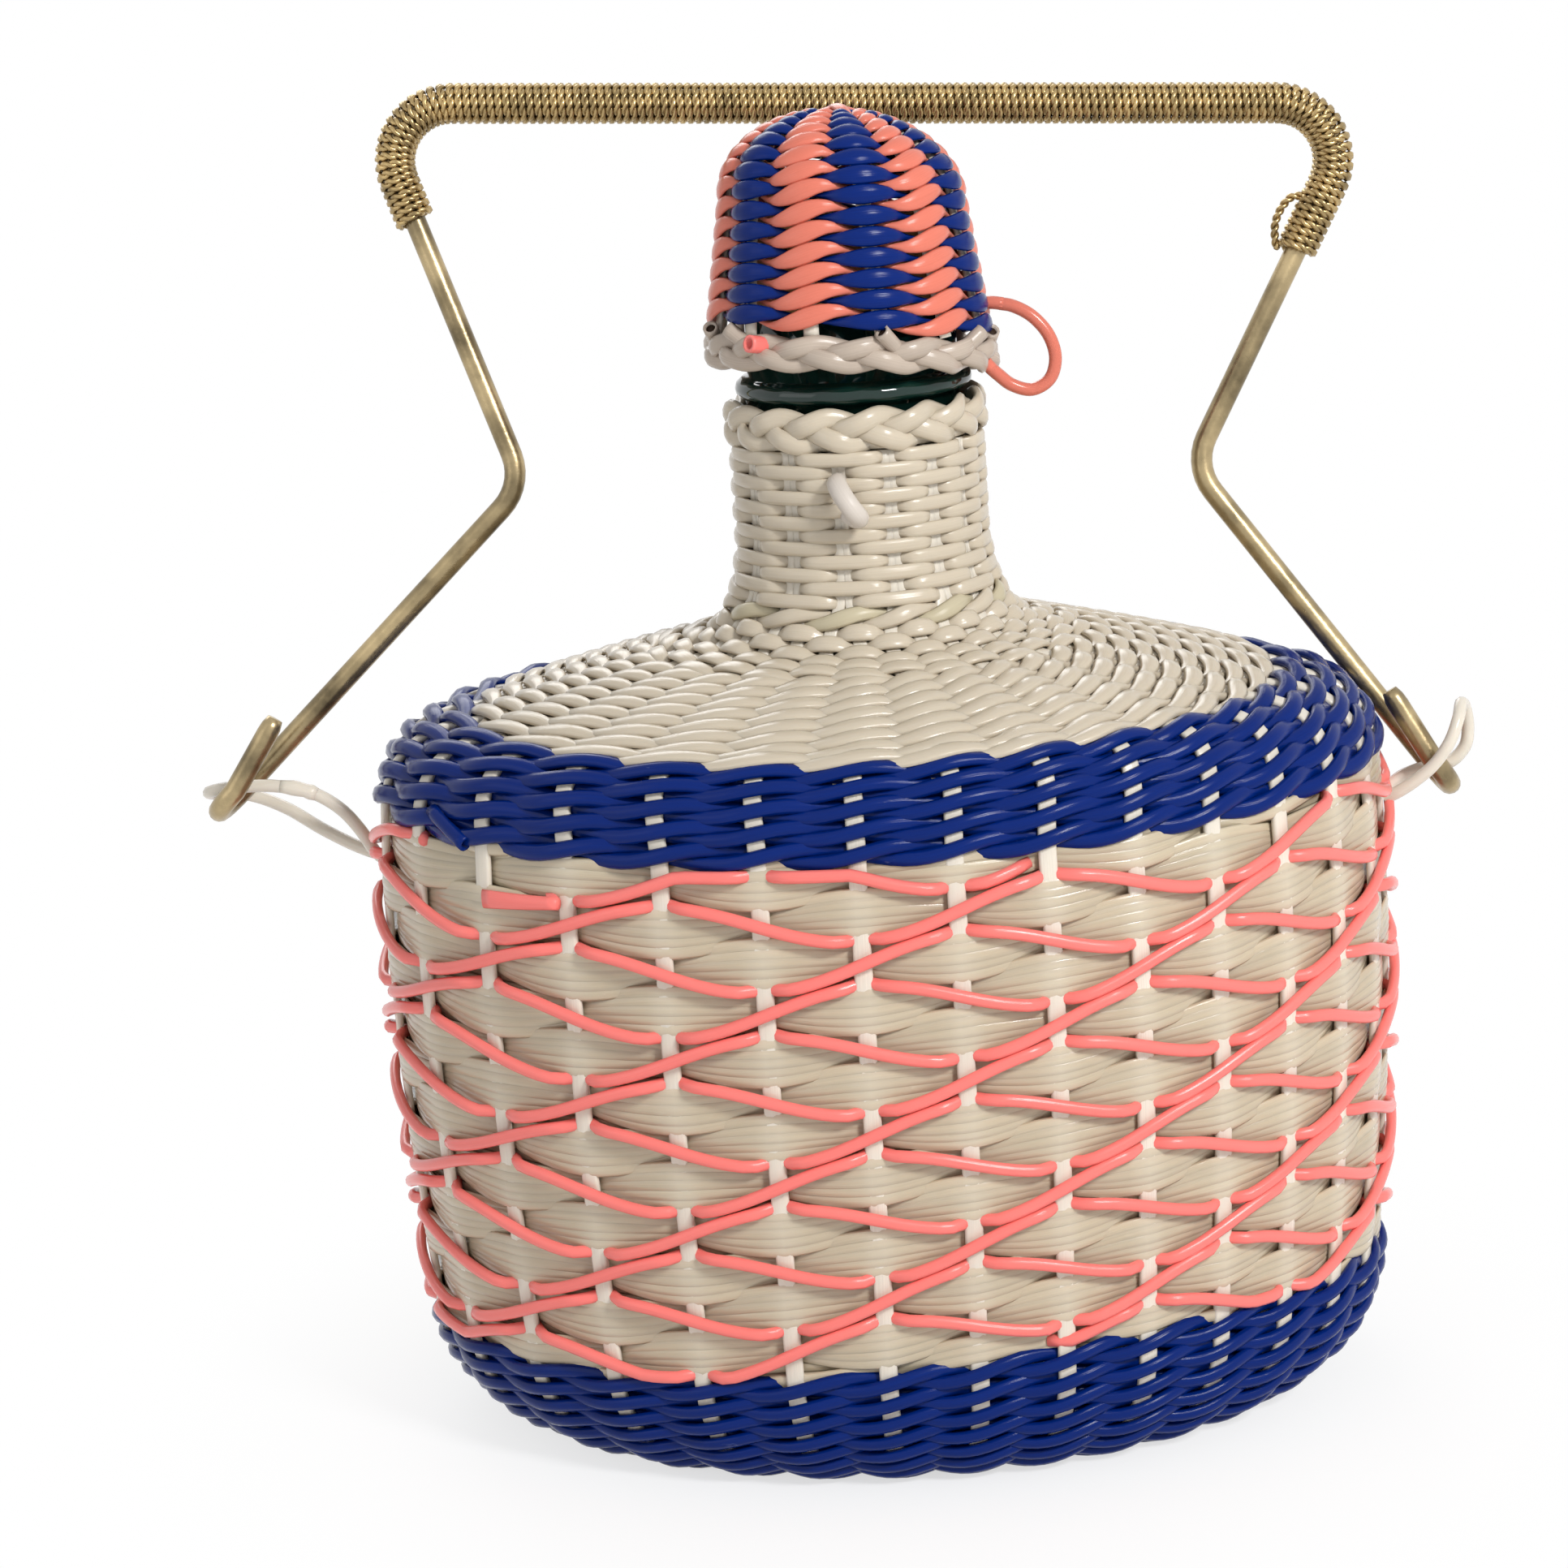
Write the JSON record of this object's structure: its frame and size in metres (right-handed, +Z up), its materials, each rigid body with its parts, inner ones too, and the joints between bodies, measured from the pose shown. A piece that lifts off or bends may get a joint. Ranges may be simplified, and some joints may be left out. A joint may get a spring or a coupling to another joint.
{
  "type": "cord-wrapped water bottle",
  "caption": "Oval glass bottle in a woven cover of coloured plastic cord, with a cork under a woven hood and a hinged wire bail with a cord-wound grip.",
  "frame": {"origin": "centre of the flat underside of the base mat", "axes": "+Z up along the neck, -Y towards the front, +X to the right along the long side of the oval"},
  "size_m": [0.2487, 0.1398, 0.2569],
  "materials": {
    "green_glass": "smooth, dark green",
    "blue_cord": "glossy deep blue hollow cord",
    "beige_cord": "glossy, slightly clear beige cord",
    "cream_cord": "glossy cream hollow cord",
    "white_cord": "glossy off-white hollow cord",
    "coral_cord": "glossy coral cord",
    "cork": "matt cork",
    "brass_rod": "worn antique gold",
    "gold_cord": "twisted gold cord"
  },
  "bodies": {
    "bottle": {"glass_bottle": "green_glass", "base_mat": "blue_cord", "base_band": "blue_cord", "wall_weave": "beige_cord", "coral_strand_1": "coral_cord", "coral_strand_2": "coral_cord", "coral_strand_3": "coral_cord", "shoulder_band": "blue_cord", "shoulder_weave": "cream_cord", "neck_weave": "cream_cord", "neck_collar": "cream_cord", "neck_tab": "white_cord", "stake_01": "white_cord", "stake_02": "white_cord", "stake_03": "white_cord", "stake_04": "white_cord", "stake_05": "white_cord", "stake_06": "white_cord", "stake_07": "white_cord", "stake_08": "white_cord", "stake_09": "white_cord", "stake_10": "white_cord", "stake_11": "white_cord", "stake_12": "white_cord", "stake_13": "white_cord", "stake_14": "white_cord", "stake_15": "white_cord", "stake_16": "white_cord", "stake_17": "white_cord", "stake_18": "white_cord", "stake_19": "white_cord", "stake_20": "white_cord", "stake_21": "white_cord", "stake_22": "white_cord", "stake_23": "white_cord", "stake_24": "white_cord", "stake_25": "white_cord", "stake_26": "white_cord", "stake_27": "white_cord", "stake_28": "white_cord", "stake_29": "white_cord", "left_bail_loop": "white_cord", "right_bail_loop": "white_cord"},
    "stopper": {"cork_stopper": "cork"},
    "hood": {"hood_weave": "blue_cord", "hood_rim": "white_cord", "hood_loop": "coral_cord"},
    "bail": {"bail_rod": "brass_rod", "grip_winding": "gold_cord"}
  },
  "joints": [
    {"name": "stopper_lift", "type": "slide", "parent": "bottle", "child": "stopper", "axis": [0, 0, 1], "range_m": [0, 0.028]},
    {"name": "hood_turn", "type": "hinge", "parent": "stopper", "child": "hood", "pos_m": [0, 0, 0.228], "axis": [0, 0, 1], "continuous": true},
    {"name": "bail_swing", "type": "hinge", "parent": "bottle", "child": "bail", "pos_m": [-0.0025, 0.006, 0.1212], "axis": [-0.9996, 0, 0.0297], "range_deg": [0, 55]}
  ]
}
